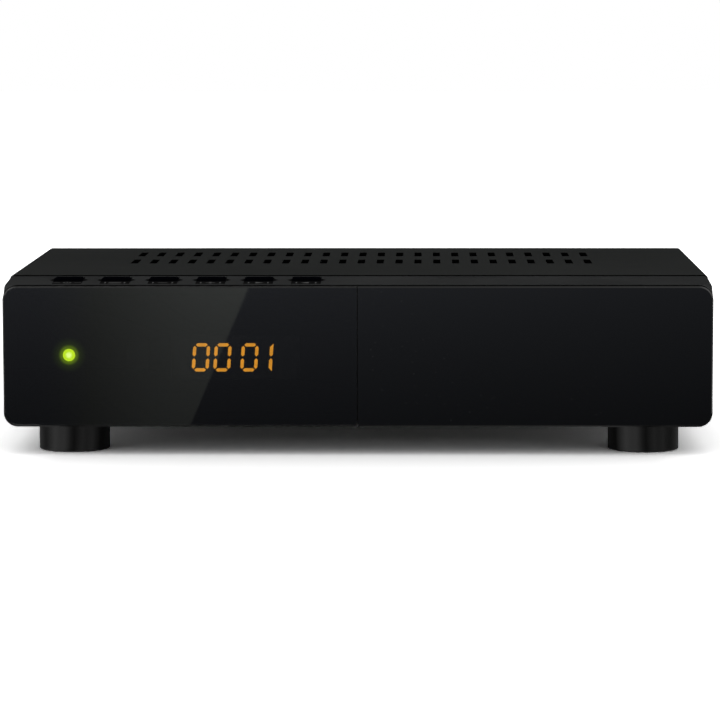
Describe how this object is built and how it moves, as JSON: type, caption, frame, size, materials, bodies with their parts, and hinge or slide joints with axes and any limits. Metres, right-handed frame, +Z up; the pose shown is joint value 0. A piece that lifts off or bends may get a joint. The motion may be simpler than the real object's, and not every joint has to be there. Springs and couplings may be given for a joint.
{
  "type": "satellite television receiver",
  "caption": "Flat set-top satellite receiver: folded slotted steel cover, moulded front with display window and top keys, rear sockets, round feet.",
  "frame": {"origin": "on the standing surface, in the middle of the overall outline, which runs from the front face to the end of the aerial socket", "axes": "+X to the right seen from the front, +Y from the front face to the rear panel, +Z up"},
  "size_m": [0.1692, 0.116, 0.0417],
  "materials": {
    "black_steel": "fine textured black paint",
    "bezel_plastic": "satin moulded black",
    "smoked_acrylic": "polished smoked acrylic",
    "gloss_black": "polished black",
    "key_plastic": "satin black",
    "plunger_plastic": "natural plastic",
    "switch_plastic": "matte black",
    "board_green": "solder mask",
    "green_led": "diffused epoxy, lit green",
    "display_black": "matte black",
    "amber_bars": "diffused epoxy, lit amber",
    "dark_bars": "diffused epoxy, unlit",
    "eye_epoxy": "dark epoxy",
    "ribbon_grey": "flat ribbon insulation",
    "header_white": "natural nylon",
    "chip_black": "moulded epoxy",
    "sink_aluminium": "extruded",
    "plated_steel": "tin plated",
    "can_sleeve": "shrink sleeve",
    "nickel": "nickel plated brass",
    "socket_white": "natural plastic",
    "socket_orange": "moulded orange",
    "socket_black": "moulded black",
    "foot_plastic": "satin moulded black",
    "pad_rubber": "soft rubber",
    "black_screws": "black zinc"
  },
  "bodies": {
    "case": {"top_cover": "black_steel", "base_chassis": "black_steel", "front_bezel": "bezel_plastic", "display_window": "smoked_acrylic", "fascia_panel": "gloss_black", "key_switches": "switch_plastic", "front_board": "board_green", "power_led": "green_led", "led_holder": "switch_plastic", "display_module": "display_black", "display_spacer": "switch_plastic", "lit_bars": "amber_bars", "unlit_bars": "dark_bars", "remote_eye": "eye_epoxy", "ribbon_lead": "ribbon_grey", "board_headers": "header_white", "main_board": "board_green", "processor": "chip_black", "memory_chips": "chip_black", "heatsink": "sink_aluminium", "crystal": "plated_steel", "capacitors": "can_sleeve", "coils": "chip_black", "tuner_box": "plated_steel", "antenna_socket": "nickel", "antenna_core": "socket_white", "audio_socket": "socket_orange", "audio_sleeve": "nickel", "audio_core": "socket_orange", "hdmi_socket": "plated_steel", "hdmi_tongue": "socket_black", "usb_socket": "plated_steel", "usb_tongue": "socket_white", "scart_socket": "socket_black", "power_inlet": "socket_black", "power_pin": "nickel", "foot_pads": "pad_rubber", "foot_screws": "plated_steel", "board_screws": "plated_steel", "cover_screws": "black_screws", "front_left_foot": "foot_plastic", "front_right_foot": "foot_plastic", "rear_left_foot": "foot_plastic", "rear_right_foot": "foot_plastic"},
    "power_key": {"power_button": "key_plastic", "power_plunger": "plunger_plastic"},
    "menu_key": {"menu_button": "key_plastic", "menu_plunger": "plunger_plastic"},
    "volume_down_key": {"volume_down_button": "key_plastic", "volume_down_plunger": "plunger_plastic"},
    "volume_up_key": {"volume_up_button": "key_plastic", "volume_up_plunger": "plunger_plastic"},
    "channel_down_key": {"channel_down_button": "key_plastic", "channel_down_plunger": "plunger_plastic"},
    "channel_up_key": {"channel_up_button": "key_plastic", "channel_up_plunger": "plunger_plastic"}
  },
  "joints": [
    {"name": "power_press", "type": "slide", "parent": "case", "child": "power_key", "axis": [0, 0, -1], "range_m": [0, 0.0005], "stiffness_N_per_m": 2000},
    {"name": "menu_press", "type": "slide", "parent": "case", "child": "menu_key", "axis": [0, 0, -1], "range_m": [0, 0.0005], "stiffness_N_per_m": 2000},
    {"name": "volume_down_press", "type": "slide", "parent": "case", "child": "volume_down_key", "axis": [0, 0, -1], "range_m": [0, 0.0005], "stiffness_N_per_m": 2000},
    {"name": "volume_up_press", "type": "slide", "parent": "case", "child": "volume_up_key", "axis": [0, 0, -1], "range_m": [0, 0.0005], "stiffness_N_per_m": 2000},
    {"name": "channel_down_press", "type": "slide", "parent": "case", "child": "channel_down_key", "axis": [0, 0, -1], "range_m": [0, 0.0005], "stiffness_N_per_m": 2000},
    {"name": "channel_up_press", "type": "slide", "parent": "case", "child": "channel_up_key", "axis": [0, 0, -1], "range_m": [0, 0.0005], "stiffness_N_per_m": 2000}
  ]
}
